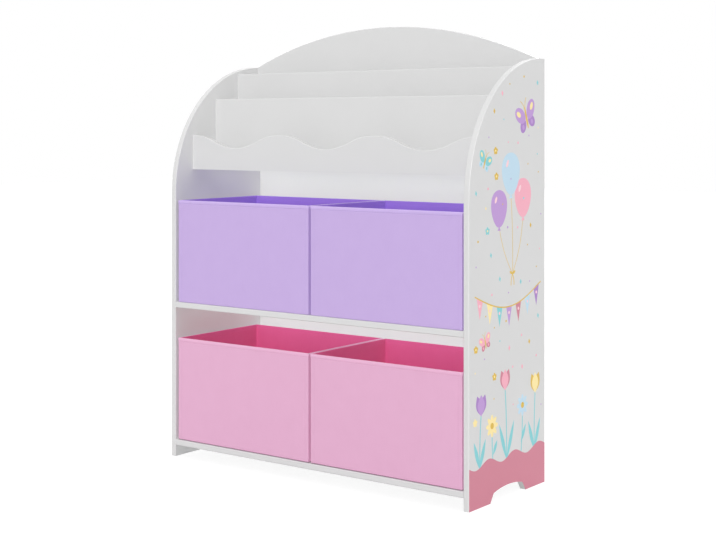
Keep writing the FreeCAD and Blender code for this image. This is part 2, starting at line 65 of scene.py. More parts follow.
# Colours
BOARD_WHITE = srgb(211, 211, 211)
BOARD_SHADE = srgb(207, 207, 207)
# Painted highlight: the white that the rounded board edges take, slightly lighter than the mottled face on
# average
PAINTED_EDGE_HIGHLIGHT = srgb(210, 210, 210)
PANEL_WHITE = srgb(215, 215, 214)
PANEL_SHADE = srgb(210, 210, 208)
BEECH = srgb(214, 180, 138)
BEECH_GRAIN = srgb(178, 136, 92)
ZINC = srgb(198, 200, 204)
CAST_ZINC = srgb(172, 174, 178)
GREYBOARD = srgb(150, 147, 140)
GREYBOARD_FLECK = srgb(178, 174, 166)
CLOTHS = {
    "lilac": {
        "face": srgb(195, 172, 220),
        "shade": srgb(190, 166, 216),
        # Painted highlight: the rim cloth is lighter than the face, for the light caught along the bin's top
        # edge
        "rim": srgb(201, 178, 233),
        "thread": srgb(188, 162, 216),
        "lining": srgb(152, 117, 211),
        "lining_shade": srgb(145, 110, 204),
        "base": srgb(190, 166, 216),
        "base_shade": srgb(185, 161, 211),
    },
    "pink": {
        "face": srgb(222, 173, 202),
        "shade": srgb(218, 167, 197),
        # Painted highlight: the rim cloth is lighter than the face, for the light caught along the bin's top
        # edge
        "rim": srgb(233, 179, 209),
        "thread": srgb(213, 160, 191),
        "lining": srgb(211, 91, 141),
        "lining_shade": srgb(204, 84, 134),
        # Painted shadow: the pink base cloth, on the base panel and turned-up foot, is far darker than the
        # face, standing in for the shade under the bins
        "base": srgb(148, 94, 127),
        "base_shade": srgb(142, 88, 121),
    },
}
LINING_HUES = {"lilac": "violet", "pink": "magenta"}
INKS = {
    "rose": srgb(200, 121, 140),
    "pink": srgb(238, 168, 186),
    "blush": srgb(244, 205, 212),
    "lilac": srgb(184, 146, 206),
    "violet": srgb(164, 122, 192),
    "aqua": srgb(126, 200, 206),
    "sky": srgb(186, 213, 230),
    "butter": srgb(246, 226, 160),
    "gold": srgb(214, 178, 62),
}


def toned(colour, share, lift=0.0):
    """A colour scaled by a share and then lifted towards white."""
    return tuple(share * level + lift for level in colour[:3]) + (1.0,)


# Shader helpers
def plug_in(tree, socket, value):
    """Gives a socket a value, or links another node's output to it."""
    if isinstance(value, bpy.types.NodeSocket):
        tree.links.new(value, socket)
    else:
        socket.default_value = value


def add_node(tree, kind, settings=None, **inputs):
    """A shader node with its settings and, by socket name, its inputs."""
    node = tree.nodes.new(kind)
    for name, value in (settings or {}).items():
        setattr(node, name, value)
    for name, value in inputs.items():
        plug_in(tree, node.inputs[name.replace("_", " ")], value)
    return node


def calc(tree, operation, *values):
    node = tree.nodes.new("ShaderNodeMath")
    node.operation = operation
    for socket, value in zip(node.inputs, values):
        plug_in(tree, socket, value)
    return node.outputs["Value"]


def spread(tree, value, low, high, from_low=0.0, from_high=1.0):
    """A value carried from one range to another."""
    node = add_node(tree, "ShaderNodeMapRange", Value=value, From_Min=from_low, From_Max=from_high,
                    To_Min=low, To_Max=high)
    return node.outputs["Result"]


def mix_colours(tree, share, first, second):
    node = tree.nodes.new("ShaderNodeMix")
    node.data_type = "RGBA"
    sockets = {socket.identifier: socket for socket in node.inputs}
    plug_in(tree, sockets["Factor_Float"], share)
    plug_in(tree, sockets["A_Color"], first)
    plug_in(tree, sockets["B_Color"], second)
    return next(socket for socket in node.outputs if socket.identifier == "Result_Color")


def object_place(tree):
    return add_node(tree, "ShaderNodeTexCoord").outputs["Object"]


def mottle(tree, place, scale, detail=2.0):
    """Soft noise, from 0 to 1, with about that many patches to the metre."""
    return add_node(tree, "ShaderNodeTexNoise", Vector=place, Scale=scale, Detail=detail).outputs["Fac"]


def stretched(tree, place, scales):
    """The place with its axes scaled, to draw noise out into fibres."""
    node = add_node(tree, "ShaderNodeMapping", Vector=place)
    node.inputs["Scale"].default_value = scales
    return node.outputs["Vector"]


def bump(tree, height, distance, under=None):
    node = add_node(tree, "ShaderNodeBump", Height=height, Distance=distance)
    if under is not None:
        tree.links.new(under, node.inputs["Normal"])
    return node.outputs["Normal"]


def edge_mask(tree, radius):
    """1 along edges and 0 on flat faces, from how far a bevel would turn the surface."""
    turned_dot, flat_dot = 0.8, 0.995
    rounded = add_node(tree, "ShaderNodeBevel", {"samples": 6}, Radius=radius).outputs["Normal"]
    flat = add_node(tree, "ShaderNodeNewGeometry").outputs["Normal"]
    dot = add_node(tree, "ShaderNodeVectorMath", {"operation": "DOT_PRODUCT"})
    tree.links.new(rounded, dot.inputs[0])
    tree.links.new(flat, dot.inputs[1])
    return spread(tree, dot.outputs["Value"], low=1.0, high=0.0, from_low=turned_dot, from_high=flat_dot)


def new_material(name):
    """An empty node material: the material, its tree and its shader."""
    material = bpy.data.materials.new(name)
    material.use_nodes = True
    tree = material.node_tree
    tree.nodes.clear()
    shader = add_node(tree, "ShaderNodeBsdfPrincipled")
    add_node(tree, "ShaderNodeOutputMaterial", Surface=shader.outputs["BSDF"])
    return material, tree, shader


def finish_shader(tree, shader, colour, roughness, normal):
    plug_in(tree, shader.inputs["Base Color"], colour)
    plug_in(tree, shader.inputs["Roughness"], roughness)
    plug_in(tree, shader.inputs["Normal"], normal)


# Materials
def white_lacquer():
    """Satin white lacquer on fibreboard, with orange peel, smoother edges and a faint painted highlight
    along them.
    """
    material, tree, shader = new_material("white_lacquer")
    edge_polish = 0.03
    place = object_place(tree)
    tone = mix_colours(tree, mottle(tree, place, scale=6.0, detail=3.0), BOARD_SHADE, BOARD_WHITE)
    edge = edge_mask(tree, radius=1.6 * MM)
    # Painted highlight: along the edges the mottled white gives way to a slightly lighter white
    colour = mix_colours(tree, edge, tone, PAINTED_EDGE_HIGHLIGHT)
    smudges = spread(tree, mottle(tree, place, scale=22.0, detail=4.0), low=0.4, high=0.52)
    roughness = calc(tree, "SUBTRACT", smudges, calc(tree, "MULTIPLY", edge, edge_polish))
    orange_peel = bump(tree, mottle(tree, place, scale=420.0, detail=1.0), distance=0.03 * MM)
    finish_shader(tree, shader, colour, roughness, orange_peel)
    return material


def white_hardboard():
    """Thin hardboard with a duller white coat, over faint fibres."""
    material, tree, shader = new_material("white_hardboard")
    place = object_place(tree)
    fibres = mottle(tree, stretched(tree, place, (260.0, 260.0, 900.0)), scale=1.0, detail=3.0)
    cloudy = mottle(tree, place, scale=9.0, detail=3.0)
    colour = mix_colours(tree, calc(tree, "MULTIPLY", fibres, cloudy), PANEL_WHITE, PANEL_SHADE)
    roughness = spread(tree, cloudy, low=0.5, high=0.66)
    finish_shader(tree, shader, colour, roughness, bump(tree, fibres, distance=0.05 * MM))
    return material


def beech():
    """Plain beech dowel with grain along its length."""
    material, tree, shader = new_material("beech")
    grain = mottle(tree, stretched(tree, object_place(tree), (40.0, 900.0, 900.0)), scale=1.0, detail=4.0)
    colour = mix_colours(tree, grain, BEECH, BEECH_GRAIN)
    roughness = spread(tree, grain, low=0.5, high=0.7)
    finish_shader(tree, shader, colour, roughness, bump(tree, grain, distance=0.1 * MM))
    return material


def plated_metal(name, colour, grain_size, low_roughness, high_roughness):
    """Zinc with a fine uneven skin and dull patches."""
    material, tree, shader = new_material(name)
    shader.inputs["Metallic"].default_value = 1.0
    place = object_place(tree)
    skin = mottle(tree, place, scale=1 / grain_size, detail=3.0)
    tone = mix_colours(tree, mottle(tree, place, scale=160.0), colour, toned(colour, share=0.8))
    roughness = spread(tree, skin, low_roughness, high_roughness)
    finish_shader(tree, shader, tone, roughness, bump(tree, skin, distance=0.06 * MM))
    return material


def woven_cloth(name, colour, shade, lies_flat=False):
    """Plain-woven cloth: crossing threads, uneven yarn and soft clouding, with a little sheen."""
    material, tree, shader = new_material(name)
    thread_pitch = 1.1 * MM
    thread_share = 0.25
    blotch_share = 0.8
    least_yarn = 0.5
    place = object_place(tree)
    axes = add_node(tree, "ShaderNodeSeparateXYZ", Vector=place).outputs
    across = axes["X"] if lies_flat else calc(tree, "ADD", axes["X"], axes["Y"])
    along = axes["Y"] if lies_flat else axes["Z"]
    warp = calc(tree, "SINE", calc(tree, "MULTIPLY", across, FULL_TURN / thread_pitch))
    weft = calc(tree, "SINE", calc(tree, "MULTIPLY", along, FULL_TURN / thread_pitch))
    weave = calc(tree, "MULTIPLY", warp, weft)
    yarn = mottle(tree, stretched(tree, place, (300.0, 300.0, 60.0)), scale=1.0, detail=3.0)
    clouds = mottle(tree, place, scale=28.0, detail=4.0)
    blotches = calc(tree, "MULTIPLY", clouds, calc(tree, "ADD", yarn, least_yarn))
    threads = spread(tree, weave, low=0.0, high=thread_share, from_low=-1.0, from_high=1.0)
    shading = calc(tree, "ADD", calc(tree, "MULTIPLY", blotches, blotch_share), threads)
    tone = mix_colours(tree, shading, colour, shade)
    shader.inputs["Sheen Weight"].default_value = 0.15
    shader.inputs["Sheen Roughness"].default_value = 0.5
    shader.inputs["Specular IOR Level"].default_value = 0.25
    nap = bump(tree, yarn, distance=0.06 * MM)
    roughness = spread(tree, clouds, low=0.82, high=0.95)
    finish_shader(tree, shader, tone, roughness, bump(tree, weave, distance=0.05 * MM, under=nap))
    return material


def sewing_thread(name, colour):
    """Twisted polyester thread, a little glossier than the cloth."""
    material, tree, shader = new_material(name)
    twist = mottle(tree, object_place(tree), scale=2400.0)
    tone = mix_colours(tree, twist, colour, toned(colour, share=0.86))
    roughness = spread(tree, twist, low=0.5, high=0.7)
    finish_shader(tree, shader, tone, roughness, bump(tree, twist, distance=0.1 * MM))
    return material


def printing_ink(name, colour):
    """Flat printed ink with a fine screen grain and slightly uneven cover."""
    material, tree, shader = new_material(f"ink_{name}")
    place = object_place(tree)
    grain = mottle(tree, place, scale=900.0, detail=1.0)
    cover = mottle(tree, place, scale=45.0, detail=3.0)
    thin = toned(colour, share=0.9, lift=0.06)
    tone = mix_colours(tree, calc(tree, "MULTIPLY", grain, cover), colour, thin)
    roughness = spread(tree, cover, low=0.42, high=0.55)
    finish_shader(tree, shader, tone, roughness, bump(tree, grain, distance=0.02 * MM))
    return material


def greyboard():
    """Grey pulp board with flecks."""
    material, tree, shader = new_material("greyboard")
    flecks = mottle(tree, object_place(tree), scale=700.0, detail=4.0)
    colour = mix_colours(tree, flecks, GREYBOARD, GREYBOARD_FLECK)
    roughness = spread(tree, flecks, low=0.8, high=0.95)
    finish_shader(tree, shader, colour, roughness, bump(tree, flecks, distance=0.1 * MM))
    return material


def dress_solids():
    """Gives every solid that stays in view the finish of its material slot."""
    finishes = {
        "white_board": white_lacquer(),
        "white_panel": white_hardboard(),
        "beech": beech(),
        "zinc": plated_metal("zinc", ZINC, grain_size=0.8 * MM, low_roughness=0.24, high_roughness=0.4),
        "cast_zinc": plated_metal("cast_zinc", CAST_ZINC, grain_size=0.5 * MM, low_roughness=0.36,
                                  high_roughness=0.55),
        "greyboard": greyboard(),
    }
    for subpart in frame["record"]["subparts"]:
        finish = finishes.get(subpart["material_slot"])
        if finish is not None:
            node = frame["nodes"][subpart["node"]]
            node.data.materials.clear()
            node.data.materials.append(finish)


# Mesh helpers
CREASE_ANGLE = math.radians(40.0)


def mesh_piece(name, body, mesh_maker, materials, smooth=True):
    """A new piece on a body, from a function that fills a bmesh."""
    bm = bmesh.new()
    mesh_maker(bm)
    mesh = bpy.data.meshes.new(name)
    bm.to_mesh(mesh)
    bm.free()
    for material in materials:
        mesh.materials.append(material)
    mesh.polygons.foreach_set("use_smooth", [smooth] * len(mesh.polygons))
    mesh.set_sharp_from_angle(angle=CREASE_ANGLE)
    piece = bpy.data.objects.new(name, mesh)
    bpy.context.scene.collection.objects.link(piece)
    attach(piece, body)
    return piece


def join_rings(bm, rings, closed=False):
    """Strips of quads between rings of as many points each, and from the last to the first if closed."""
    pairs = list(zip(rings, rings[1:]))
    if closed:
        pairs.append((rings[-1], rings[0]))
    strips = []
    for lower, upper in pairs:
        following = [(index + 1) % len(lower) for index in range(len(lower))]
        strips.append([bm.faces.new((lower[index], lower[after], upper[after], upper[index]))
                       for index, after in enumerate(following)])
    return strips


# Fabric bins
CLOTH_THICKNESS = 0.8 * MM
CLOTH_STEP = 9 * MM
CORNER_RADIUS = 0.6 * MM
INNER_RADIUS = 1.6 * MM
SHARPEST_RADIUS = 0.4 * MM
CORNER_STEPS = 5
FOOT_RADII = {"upper": 1.4 * MM, "lower": 2.4 * MM}
LINING_FOOT_RADIUS = 1.4 * MM
FOOT_STEPS = 4
TURNED_UP_STEPS = 3
WALL_ROWS = 26
SEAM_INSET = 8 * MM
GROOVE_WIDTH = 1.6 * MM
GROOVE_DEPTH = 0.25 * MM
COVER_BOW = 0.9 * MM
LINING_BOW = -0.5 * MM
WRINKLE_SIZE = 55 * MM
WRINKLE_DEPTH = 0.25 * MM
RIM_FLAP = 8 * MM
RIM_INNER_FLAP = 7 * MM
RIM_INNER_PROUD = 0.4 * MM
RIM_ARCH = 2 * MM
RIM_STEPS = 8
STITCH_LENGTH = 2.8 * MM
STITCH_GAP = 1.0 * MM
STITCH_WIDTH = 0.6 * MM
STITCH_HEIGHT = 0.28 * MM
STITCH_RING_SHARES = (0.25, 0.75)
INSERT_CROWN = 0.6 * MM
INSERT_CLEARANCE = 0.1 * MM
CROWN_RING_SHARES = (0.96, 0.85, 0.6, 0.3)

Footprint = namedtuple("Footprint", "low high radius stations")
Station = namedtuple("Station", "wall share outward groove")


def wall_distances(length):
    """Distances along a wall, close together at the sewn line beside each corner."""
    near = [0.0, SEAM_INSET - GROOVE_WIDTH, SEAM_INSET, SEAM_INSET + GROOVE_WIDTH]
    middle_length = length - 2 * near[-1]
    count = round(middle_length / CLOTH_STEP)
    middle = [near[-1] + middle_length * step / count for step in range(1, count)]
    return near + middle + [length - distance for distance in reversed(near)]


def footprint(low, high, radius):
    """A rounded rectangle with stations round it, anticlockwise from the left end of its front wall."""
    lengths = [high.x - low.x - 2 * radius, high.y - low.y - 2 * radius] * 2
    stations = []
    for wall, length in enumerate(lengths):
        angle = QUARTER_TURN * (wall - 1)
        outward = Vector((math.cos(angle), math.sin(angle)))
        for distance in wall_distances(length):
            from_seam = min(abs(distance - SEAM_INSET), abs(length - distance - SEAM_INSET))
            groove = math.exp(-(from_seam / GROOVE_WIDTH) ** 2)
            stations.append(Station(wall, distance / length, outward, groove))
        for step in range(1, CORNER_STEPS):
            turn = angle + QUARTER_TURN * step / CORNER_STEPS
            stations.append(Station(wall, 1.0, Vector((math.cos(turn), math.sin(turn))), 0.0))
    return Footprint(low, high, radius, stations)


def station_place(shape, station, offset):
    """The place of a station on the footprint, or that far outside it."""
    radius = max(shape.radius + offset, SHARPEST_RADIUS)
    inset = radius - offset
    right, left = shape.high.x - inset, shape.low.x + inset
    front, rear = shape.low.y + inset, shape.high.y - inset
    corners = [Vector((right, front)), Vector((right, rear)), Vector((left, rear)), Vector((left, front))]
    on_wall = corners[station.wall - 1].lerp(corners[station.wall], station.share)
    return on_wall + station.outward * radius


def cloth_point(shape, station, height, offset, rise, bow):
    """A point of a bin wall: bowed between its edges, drawn in at its sewn lines and slightly uneven."""
    # 0 at the wall's four edges and 1 at its middle
    belly = 16 * station.share * (1 - station.share) * rise * (1 - rise)
    # The sewn lines run out over the lowest quarter of the wall
    sewn_in = GROOVE_DEPTH * station.groove * math.copysign(1.0, bow) * min(1.0, 4 * rise)
    place = station_place(shape, station, offset)
    ripple = noise.noise(Vector((place.x, place.y, height)) / WRINKLE_SIZE) * WRINKLE_DEPTH
    place += station.outward * (belly * (bow + ripple) - sewn_in)
    return Vector((place.x, place.y, height))


def wall_rows(bottom, top, foot):
    """(height, offset, rise) of the rings of a bin wall, from its rounded lower edge to its rim."""
    rows = []
    for step in range(FOOT_STEPS):
        turn = QUARTER_TURN * step / FOOT_STEPS
        rows.append((bottom + foot * (1 - math.cos(turn)), foot * (math.sin(turn) - 1), 0.0))
    straight = top - bottom - foot
    for step in range(WALL_ROWS + 1):
        rise = step / WALL_ROWS
        rows.append((bottom + foot + straight * rise, 0.0, rise))
    return rows


def cloth_ring(bm, shape, height, offset, rise, bow):
    ring = []
    for station in shape.stations:
        ring.append(bm.verts.new(cloth_point(shape, station, height, offset, rise, bow)))
    return ring


def cloth_box(bm, shape, bottom, top, foot, bow):
    """An open box of cloth with a rounded lower edge. Gives the faces of its base panel."""
    rings = []
    for height, offset, rise in wall_rows(bottom, top, foot):
        rings.append(cloth_ring(bm, shape, height, offset, rise, bow))
    strips = join_rings(bm, rings)
    base = [bm.faces.new(list(reversed(rings[0])))]
    for strip in strips[:TURNED_UP_STEPS]:
        base += strip
    return base


def thicken(piece, thickness):
    modifier = piece.modifiers.new("cloth_thickness", "SOLIDIFY")
    modifier.thickness = thickness
    modifier.offset = -1.0


def make_cover(name, cloth, foot):
    low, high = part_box(f"{name}_cover")
    shape = footprint(low, high, CORNER_RADIUS)
    top = high.z - CLOTH_THICKNESS

    def fill(bm):
        # The base panel and the turned-up foot take the base cloth, which for the pink bins is a painted
        # shadow
        for face in cloth_box(bm, shape, low.z, top, foot, COVER_BOW):
            face.material_index = 1

    piece = mesh_piece(f"{name}_sewn_cover", name, fill, [cloth["face"], cloth["base"]])
    thicken(piece, CLOTH_THICKNESS)
    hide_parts(f"{name}_cover")
    return shape, low.z, top


def make_lining(name, cloth):
    low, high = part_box(f"{name}_lining")
    thickness = Vector((CLOTH_THICKNESS, CLOTH_THICKNESS, CLOTH_THICKNESS))
    shape = footprint(low + thickness, high - thickness, INNER_RADIUS)
    bottom = low.z + CLOTH_THICKNESS

    def fill(bm):
        cloth_box(bm, shape, bottom, high.z - CLOTH_THICKNESS, LINING_FOOT_RADIUS, LINING_BOW)
        bmesh.ops.reverse_faces(bm, faces=bm.faces)

    piece = mesh_piece(f"{name}_sewn_lining", name, fill, [cloth["lining"]])
    thicken(piece, CLOTH_THICKNESS)
    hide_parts(f"{name}_lining")


def rim_profile(wall):
    """(offset, drop below the top) round the section of the rim strip, folded over a wall that thick."""
    def fold(outer, inner, arch):
        middle = (outer + inner) / 2
        points = []
        for step in range(RIM_STEPS + 1):
            turn = math.pi * step / RIM_STEPS
            points.append((middle + (outer - middle) * math.cos(turn), RIM_ARCH - arch * math.sin(turn)))
        return points

    inner_face = -wall - RIM_INNER_PROUD
    outer_skin = [(CLOTH_THICKNESS / 3, RIM_FLAP), (CLOTH_THICKNESS, RIM_FLAP - CLOTH_THICKNESS)]
    outer_skin += fold(CLOTH_THICKNESS, inner_face, RIM_ARCH)
    outer_skin += [(inner_face, RIM_INNER_FLAP), (-wall, RIM_INNER_FLAP)]
    inner_skin = fold(0.0, -wall, RIM_ARCH - CLOTH_THICKNESS)
    return outer_skin + inner_skin[::-1] + [(0.0, RIM_FLAP)]


def make_rim(name, cloth, shape, bottom, top_of_cover):
    """The strip folded over the rim, of a lighter rim cloth outside, which is a painted highlight, and
    lining cloth inside.
    """
    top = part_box(f"{name}_binding")[1].z
    cover_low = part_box(f"{name}_cover")[0]
    lining_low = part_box(f"{name}_lining")[0]
    wall = lining_low.x + CLOTH_THICKNESS - cover_low.x

    def fill(bm):
        profile = rim_profile(wall)
        rings = []
        for offset, drop in profile:
            height = top - drop
            rise = min(1.0, (height - bottom) / (top_of_cover - bottom))
            rings.append(cloth_ring(bm, shape, height, offset, rise, COVER_BOW))
        strips = join_rings(bm, rings, closed=True)
        for (offset, _), strip in zip(profile, strips):
            for face in strip:
                face.material_index = int(offset < -wall / 2)
        bmesh.ops.recalc_face_normals(bm, faces=bm.faces)

    piece = mesh_piece(f"{name}_rim_strip", name, fill, [cloth["rim"], cloth["lining"]])
    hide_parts(f"{name}_binding")


def along_path(path, distance):
    """The point and outward direction that far along a path of (point, outward) pairs."""
    for (start, outward), (end, _) in zip(path, path[1:]):
        length = (end - start).length
        if distance <= length:
            return start.lerp(end, distance / length), outward
        distance -= length
    return path[-1]


def sew(bm, path):
    """Stitches along a path, each a short thread that dips into the cloth at both ends."""
    total = sum((end[0] - start[0]).length for start, end in zip(path, path[1:]))
    for number in range(int(total / (STITCH_LENGTH + STITCH_GAP))):
        begin = number * (STITCH_LENGTH + STITCH_GAP)
        start, outward = along_path(path, begin)
        end, _ = along_path(path, begin + STITCH_LENGTH)
        side = (end - start).normalized().cross(outward) * STITCH_WIDTH / 2
        lift = outward * STITCH_HEIGHT
        tips = [bm.verts.new(point - lift) for point in (start, end)]
        rings = []
        for share in STITCH_RING_SHARES:
            middle = start.lerp(end, share)
            rings.append([bm.verts.new(middle + shift) for shift in (side, lift, -side, -lift)])
        join_rings(bm, rings)
        for index in range(4):
            after = (index + 1) % 4
            bm.faces.new((tips[0], rings[0][after], rings[0][index]))
            bm.faces.new((tips[1], rings[1][index], rings[1][after]))
    bmesh.ops.recalc_face_normals(bm, faces=bm.faces)


def make_stitching(name, cloth, shape, bottom, top, foot):
    """Stitches round the rim strip and up the sewn line beside each corner."""
    rim_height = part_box(f"{name}_binding")[1].z - RIM_FLAP + 2 * CLOTH_THICKNESS
    seam_start = bottom + 2 * foot
    seam_end = top - RIM_FLAP

    def wall_path(station):
        path = []
        for step in range(WALL_ROWS + 1):
            height = seam_start + (seam_end - seam_start) * step / WALL_ROWS
            rise = (height - bottom) / (top - bottom)
            point = cloth_point(shape, station, height, STITCH_HEIGHT / 2, rise, COVER_BOW)
            path.append((point, station.outward.to_3d()))
        return path

    def fill(bm):
        rise = (rim_height - bottom) / (top - bottom)
        rim = []
        for station in shape.stations:
            point = cloth_point(shape, station, rim_height, CLOTH_THICKNESS, rise, COVER_BOW)
            rim.append((point, station.outward.to_3d()))
        sew(bm, rim + rim[:1])
        for station in shape.stations:
            if station.groove == 1.0:
                sew(bm, wall_path(station))

    mesh_piece(f"{name}_stitching", name, fill, [cloth["thread"]], smooth=False)


def make_insert(name, cloth):
    """The loose base: a board wrapped in lining cloth, slightly crowned."""
    low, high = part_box(f"{name}_insert")
    low.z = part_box(f"{name}_lining")[0].z + CLOTH_THICKNESS + INSERT_CLEARANCE
    thickness = high.z - low.z
    edge_radius = thickness / 2
    shape = footprint(low, high, CORNER_RADIUS)
    centre = (low + high) / 2

    def fill(bm):
        rings = []
        for step in range(2 * FOOT_STEPS + 1):
            turn = math.pi * step / (2 * FOOT_STEPS) - QUARTER_TURN
            offset = edge_radius * (math.cos(turn) - 1)
            height = centre.z + edge_radius * math.sin(turn) * (1 - INSERT_CROWN / thickness)
            places = [station_place(shape, station, offset) for station in shape.stations]
            rings.append([bm.verts.new((place.x, place.y, height)) for place in places])
        edge_ring = rings[-1]
        for share in CROWN_RING_SHARES:
            height = rings[-1][0].co.z + (1 - share) * INSERT_CROWN / 2
            ring = []
            for vertex in edge_ring:
                across = centre.x + (vertex.co.x - centre.x) * share
                along = centre.y + (vertex.co.y - centre.y) * share
                ring.append(bm.verts.new((across, along, height)))
            rings.append(ring)
        join_rings(bm, rings)
        bm.faces.new(list(reversed(rings[0])))
        bm.faces.new(rings[-1])

    piece = mesh_piece(f"{name}_wrapped_base", f"{name}_base", fill, [cloth["insert"]])
    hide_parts(f"{name}_insert")


def cloth_materials(hue):
    """The cloths and thread of one colour of bin."""
    colours = CLOTHS[hue]
    lining_hue = LINING_HUES[hue]

    def cloth(name, colour, shade, lies_flat=False):
        return woven_cloth(name, colours[colour], colours[shade], lies_flat)

    return {
        "face": cloth(f"{hue}_cloth", "face", "shade"),
        # The rim strip's outside is a lighter cloth, a painted highlight along the top edge
        "rim": cloth(f"{hue}_rim_highlight_cloth", "rim", "face"),
        "lining": cloth(f"{lining_hue}_lining", "lining", "lining_shade"),
        # For the pink bins the base cloth is a painted shadow along the foot
        "base": cloth(f"{hue}_base_cloth", "base", "base_shade", lies_flat=True),
        "insert": cloth(f"{lining_hue}_insert_cloth", "lining", "lining_shade", lies_flat=True),
        "thread": sewing_thread(f"{hue}_thread", colours["thread"]),
        "slot": f"{hue}_fabric",
        "lining_slot": f"{lining_hue}_lining",
    }


def make_bins():
    cloths = {"upper": cloth_materials("lilac"), "lower": cloth_materials("pink")}
    for level, cloth in cloths.items():
        for side in ("left", "right"):
            name = f"{level}_{side}_bin"
            foot = FOOT_RADII[level]
            shape, bottom, top = make_cover(name, cloth, foot)
            make_lining(name, cloth)
            make_rim(name, cloth, shape, bottom, top)
            make_stitching(name, cloth, shape, bottom, top, foot)
            make_insert(name, cloth)


# Printed side panels. A place on the print is (along the depth, height), as on the panel
INK_SINK = 0.03 * MM
INK_LIFT = 0.06 * MM
INK_STEP = 0.03 * MM
BAND_HEIGHT = 79 * MM
BAND_WAVE = 7 * MM
BAND_WAVE_LENGTH = 94 * MM
BAND_STEP = 3 * MM
CONFETTI_CLEAR = 14 * MM
CONFETTI_APART = 2.4 * CONFETTI_CLEAR
CONFETTI_TRIES = 520
CONFETTI_SEED = 11
CONFETTI_SIZES = (3.5 * MM, 3.5 * MM, 5 * MM, 8 * MM, 11 * MM)
CONFETTI_INKS = ("gold", "gold", "pink", "lilac", "aqua", "butter")
LARGEST_DOT = 6 * MM
LARGEST_DIAMOND = 10 * MM

Patch = namedtuple("Patch", "outline ink")


def placed(points, centre, lean=0.0):
    """Points moved to a centre and turned anticlockwise by the lean."""
    turn = Matrix.Rotation(lean, 2)
    return [turn @ Vector(point) + Vector(centre) for point in points]


def oval(centre, width, height, lean=0.0, steps=28):
    angles = [FULL_TURN * step / steps for step in range(steps)]
    return placed([(width / 2 * math.cos(a), height / 2 * math.sin(a)) for a in angles], centre, lean)


def egg(centre, width, height, steps=40):
    """An oval that narrows towards its lower end."""
    narrowing_share = 0.2
    angles = [FULL_TURN * step / steps for step in range(steps)]
    return placed([(width / 2 * math.cos(a) * (1 + narrowing_share * math.sin(a)), height / 2 * math.sin(a))
                   for a in angles], centre)


def leaf(base, tip, width, steps=12):
    """A pointed oval from its base to its tip."""
    axis = Vector(tip) - Vector(base)
    side = Vector((-axis.y, axis.x)).normalized() * width / 2
    shares = [step / steps for step in range(steps + 1)]
    right = [Vector(base) + axis * s - side * math.sin(math.pi * s) for s in shares]
    left = [Vector(base) + axis * s + side * math.sin(math.pi * s) for s in reversed(shares[1:-1])]
    return right + left


def ribbon(path, width):
    """A strip along a path of points."""
    points = [Vector(point) for point in path]
    sides = []
    for index in range(len(points)):
        run = points[min(index + 1, len(points) - 1)] - points[max(index - 1, 0)]
        sides.append(Vector((-run.y, run.x)).normalized() * width / 2)
    right = [point - side for point, side in zip(points, sides)]
    left = [point + side for point, side in zip(points, sides)]
    return right + left[::-1]


def swung(start, end, swing, steps=16):
    """Points from start to end, swung sideways along a half wave."""
    start, end = Vector(start), Vector(end)
    run = end - start
    side = Vector((-run.y, run.x)).normalized() * swing
    points = []
    for step in range(steps + 1):
        sideways = side * math.sin(math.pi * step / steps)
        points.append(start + run * (step / steps) + sideways)
    return points


def balloon(centre, width, ink, gather, swing):
    """A balloon with its knot, its highlight and a string to the gathering point."""
    height = 1.24 * width
    string_width = 1.4 * MM
    centre = Vector(centre)
    foot = centre - Vector((0, height / 2))
    knot = 0.1 * width
    tail = [foot + Vector((0, knot / 2)), foot + Vector((-knot, -knot)), foot + Vector((knot, -knot))]
    shine = centre + Vector((-0.2 * width, 0.24 * height))
    return [
        Patch(ribbon(swung(foot, gather, swing), string_width), "gold"),
        Patch(tail, ink),
        Patch(egg(centre, width, height), ink),
        Patch(oval(shine, 0.12 * width, 0.24 * width, lean=-0.5), "blush"),
    ]


def balloon_bunch():
    """Three balloons with their strings tied in a bow."""
    gather = Vector((16, 428)) * MM
    balloons = (
        (-34, 556, 58, "lilac", -6),
        (56, 574, 62, "pink", 7),
        (10, 622, 66, "sky", 3),
    )
    patches = []
    for across, up, width, ink, swing in balloons:
        patches += balloon(Vector((across, up)) * MM, width * MM, ink, gather, swing * MM)
    bow = 11 * MM
    tail_width = 2 * MM
    for lean in (-1, 1):
        loop_tip = gather + Vector((lean * bow, bow / 2))
        patches.append(Patch(leaf(gather, loop_tip, bow / 2), "gold"))
        tail_tip = gather + Vector((lean * bow / 2, -2 * bow))
        patches.append(Patch(ribbon(swung(gather, tail_tip, lean * bow / 6), tail_width), "gold"))
    return patches


def butterfly(centre, span, lean, wing_ink, spot_ink):
    """Four rounded wings with spots, a thin body and two feelers."""
    centre = Vector(centre)
    turn = Matrix.Rotation(lean, 2)

    def at(across_share, up_share):
        return centre + turn @ Vector((across_share, up_share)) * span

    # Place across and up, width and height, as shares of the span, then the tilt and the ink
    wing_shares = (
        (0.2, -0.13, 0.26, 0.34, 0.7, spot_ink),
        (0.21, -0.16, 0.1, 0.12, 0.0, wing_ink),
        (0.25, 0.14, 0.34, 0.5, -0.8, wing_ink),
        (0.31, 0.19, 0.12, 0.2, -0.8, "butter"),
    )
    feeler_width = 0.018 * span
    patches = []
    for side in (-1, 1):
        for across, up, width, height, tilt, ink in wing_shares:
            wing = oval(at(across * side, up), width * span, height * span, lean + tilt * side)
            patches.append(Patch(wing, ink))
        feeler = swung(at(0.01 * side, 0.2), at(0.14 * side, 0.46), 0.03 * span * side)
        patches.append(Patch(ribbon(feeler, feeler_width), "gold"))
    patches.append(Patch(oval(centre, 0.07 * span, 0.52 * span, lean), "gold"))
    return patches


def butterflies():
    return (butterfly((70 * MM, 730 * MM), span=84 * MM, lean=0.35, wing_ink="lilac", spot_ink="violet")
            + butterfly((-86 * MM, 646 * MM), span=50 * MM, lean=-0.4, wing_ink="aqua", spot_ink="sky")
            + butterfly((-84 * MM, 306 * MM), span=44 * MM, lean=0.3, wing_ink="pink", spot_ink="rose"))


